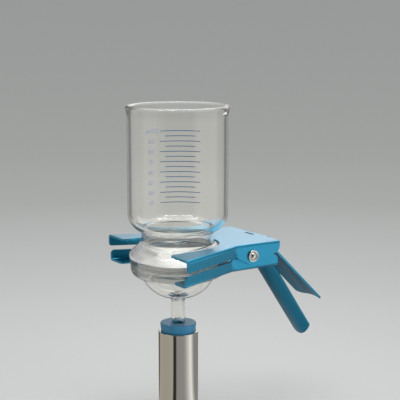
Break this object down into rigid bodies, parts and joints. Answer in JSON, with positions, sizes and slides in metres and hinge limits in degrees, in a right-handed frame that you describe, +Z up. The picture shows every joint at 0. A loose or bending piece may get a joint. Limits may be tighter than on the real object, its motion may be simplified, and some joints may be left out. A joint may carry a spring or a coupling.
{
  "type": "vacuum filtration unit",
  "caption": "Glass funnel clamped by a sprung sheet-metal clamp to a glass base with a filter disc, on a stoppered steel column.",
  "frame": {"origin": "centre of the column's foot, on the axis of the glass", "axes": "+Z up along the glass axis, +X towards the clamp's handles, -Y the front"},
  "size_m": [0.1603, 0.1088, 0.2215],
  "materials": {
    "polished_steel": "turned and polished stainless steel",
    "blue_silicone": "moulded matt silicone",
    "clear_glass": "clear blown borosilicate",
    "sintered_glass": "white sintered glass, porous",
    "white_membrane": "matt white membrane",
    "blue_anodised": "satin blue anodised sheet",
    "bright_plating": "bright plated",
    "spacer_aluminium": "plain drawn tube",
    "spring_steel": "oiled spring wire"
  },
  "bodies": {
    "glass_stack": {"column": "polished_steel", "stopper": "blue_silicone", "support_base": "clear_glass", "frit_disc": "sintered_glass", "filter_membrane": "white_membrane", "funnel": "clear_glass"},
    "upper_jaw": {"upper_jaw": "blue_anodised", "pivot_pin": "bright_plating", "pivot_cap": "bright_plating", "front_washer": "bright_plating", "rear_washer": "bright_plating", "spacer_tube": "spacer_aluminium", "torsion_spring": "spring_steel"},
    "lower_jaw": {"lower_jaw": "blue_anodised"}
  },
  "joints": [
    {"name": "upper_jaw_hinge", "type": "hinge", "parent": "glass_stack", "child": "upper_jaw", "pos_m": [0.0424, 0, 0.1153], "axis": [0, 1, 0], "range_deg": [0, 5.8], "stiffness_Nm_per_rad": 1, "springref_deg": -28.65, "deforming": ["torsion_spring"]},
    {"name": "lower_jaw_hinge", "type": "hinge", "parent": "glass_stack", "child": "lower_jaw", "pos_m": [0.0424, 0, 0.1153], "axis": [0, 1, 0], "range_deg": [-5.8, 0], "stiffness_Nm_per_rad": 1, "springref_deg": 28.65, "deforming": ["torsion_spring"]}
  ]
}
